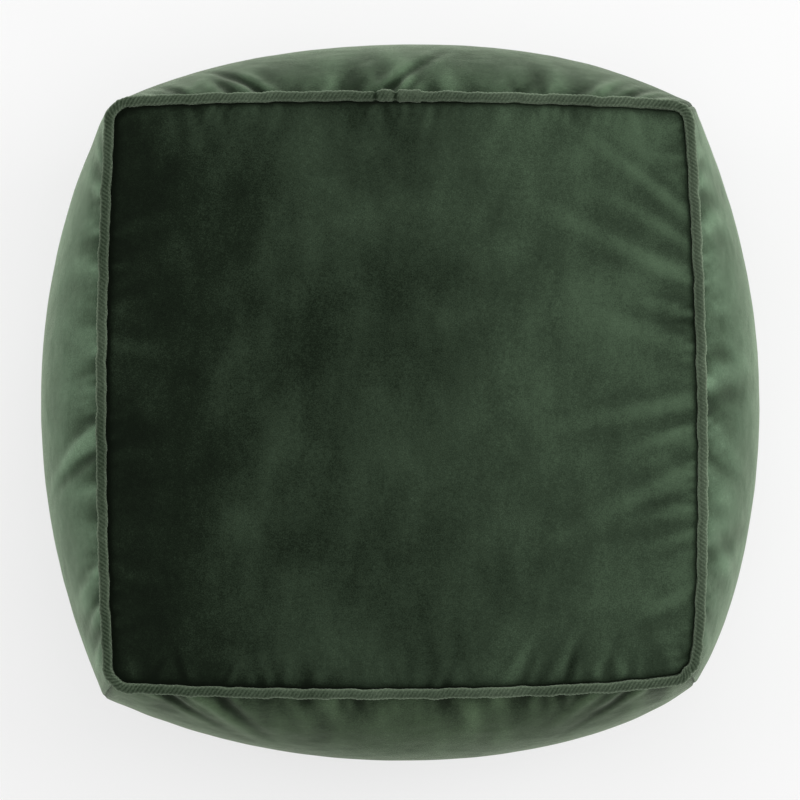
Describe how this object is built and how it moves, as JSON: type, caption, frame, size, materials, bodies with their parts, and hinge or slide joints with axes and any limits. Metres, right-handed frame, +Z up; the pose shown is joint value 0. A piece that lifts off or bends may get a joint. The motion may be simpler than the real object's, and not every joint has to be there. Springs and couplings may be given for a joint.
{
  "type": "floor cushion",
  "caption": "Square boxed floor cushion with bulging sides, corded piping round the top and base, and a zip across the underside.",
  "frame": {"origin": "on the floor, under the middle of the cushion", "axes": "+Z up, -Y towards the front side, +X towards the right side and the closed end of the zip; the piping's join is in the middle of the back (+Y)"},
  "size_m": [0.5748, 0.5748, 0.3],
  "materials": {
    "velvet": "short cotton-like pile velvet, dark bottle green, lighter at grazing angles",
    "piping_velvet": "the same velvet cut on the bias and wrapped tightly round a cord",
    "piping_cord": "twisted cotton cord",
    "zip_tape": "woven polyester tape",
    "zip_coil": "satin nylon coil",
    "zip_metal": "plated zinc, softly worn",
    "label": "white woven satin, blank",
    "calico": "unbleached plain-weave cotton",
    "filling": "loose white fibre and foam crumb"
  },
  "bodies": {
    "cushion": {"top_panel": "velvet", "side_panel_front": "velvet", "side_panel_right": "velvet", "side_panel_back": "velvet", "side_panel_left": "velvet", "base_panel_front": "velvet", "base_panel_back": "velvet", "top_piping_cover": "piping_velvet", "top_piping_cord": "piping_cord", "base_piping_cover": "piping_velvet", "base_piping_cord": "piping_cord", "zip_tape_front": "zip_tape", "zip_tape_back": "zip_tape", "zip_coil_front": "zip_coil", "zip_coil_back": "zip_coil", "zip_top_stop_front": "zip_metal", "zip_top_stop_back": "zip_metal", "zip_bottom_stop": "zip_metal", "care_label": "label", "liner_top": "calico", "liner_boxing": "calico", "liner_base": "calico", "filling": "filling"},
    "slider": {"zip_slider": "zip_metal"},
    "pull": {"zip_pull": "zip_metal"}
  },
  "joints": [
    {"name": "zip_slide", "type": "slide", "parent": "cushion", "child": "slider", "axis": [-1, 0, 0], "range_m": [0, 0.345]},
    {"name": "pull_hinge", "type": "hinge", "parent": "slider", "child": "pull", "pos_m": [0.174, 0, 0.00231], "axis": [0, -1, 0], "range_deg": [0, 180]}
  ]
}
